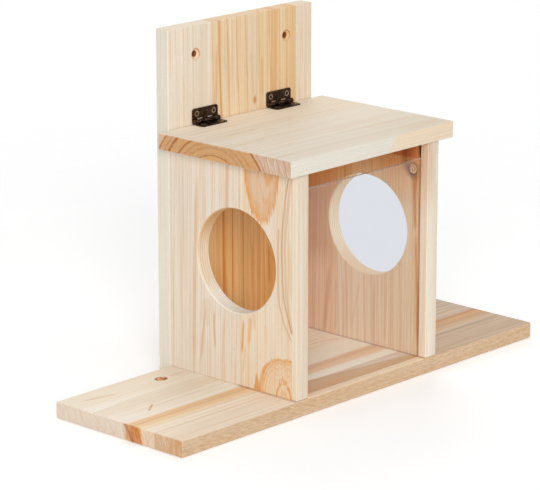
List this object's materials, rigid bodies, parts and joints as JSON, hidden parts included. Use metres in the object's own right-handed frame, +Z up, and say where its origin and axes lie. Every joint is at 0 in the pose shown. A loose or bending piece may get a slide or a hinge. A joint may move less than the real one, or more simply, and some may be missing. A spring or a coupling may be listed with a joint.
{
  "type": "squirrel feeder house",
  "caption": "Pine squirrel feeder house with a wide floor, round side entries, a lift-out clear front pane, a hinged flat roof and a drilled back board.",
  "frame": {"origin": "middle of the whole object's footprint, on the surface that it stands on", "axes": "+Z up, +X along the long floor board, -Y towards the clear front pane"},
  "size_m": [0.35, 0.13, 0.24],
  "materials": {
    "pine": "planed, unfinished, matt",
    "clear_acrylic": "clear, polished",
    "bronzed_steel": "antique dark bronze, satin, worn on the knuckles",
    "zinc_screw": "bright zinc"
  },
  "bodies": {
    "house": {"floor_board": "pine", "back_board": "pine", "left_wall": "pine", "right_wall": "pine", "left_wall_floor_screws": "zinc_screw", "left_wall_back_screws": "zinc_screw", "right_wall_floor_screws": "zinc_screw", "right_wall_back_screws": "zinc_screw", "floor_edge_screws": "zinc_screw", "left_hinge_back_leaf": "bronzed_steel", "left_hinge_pin": "bronzed_steel", "left_hinge_back_screws": "bronzed_steel", "right_hinge_back_leaf": "bronzed_steel", "right_hinge_pin": "bronzed_steel", "right_hinge_back_screws": "bronzed_steel"},
    "roof": {"roof_board": "pine", "left_hinge_roof_leaf": "bronzed_steel", "left_hinge_roof_screws": "bronzed_steel", "right_hinge_roof_leaf": "bronzed_steel", "right_hinge_roof_screws": "bronzed_steel"},
    "window": {"window_pane": "clear_acrylic"}
  },
  "joints": [
    {"name": "roof_hinge", "type": "hinge", "parent": "house", "child": "roof", "pos_m": [0, 0.0521, 0.1751], "axis": [-1, 0, 0], "range_deg": [0, 93]},
    {"name": "window_slide", "type": "slide", "parent": "house", "child": "window", "axis": [0, 0, 1], "range_m": [0, 0.012]}
  ]
}
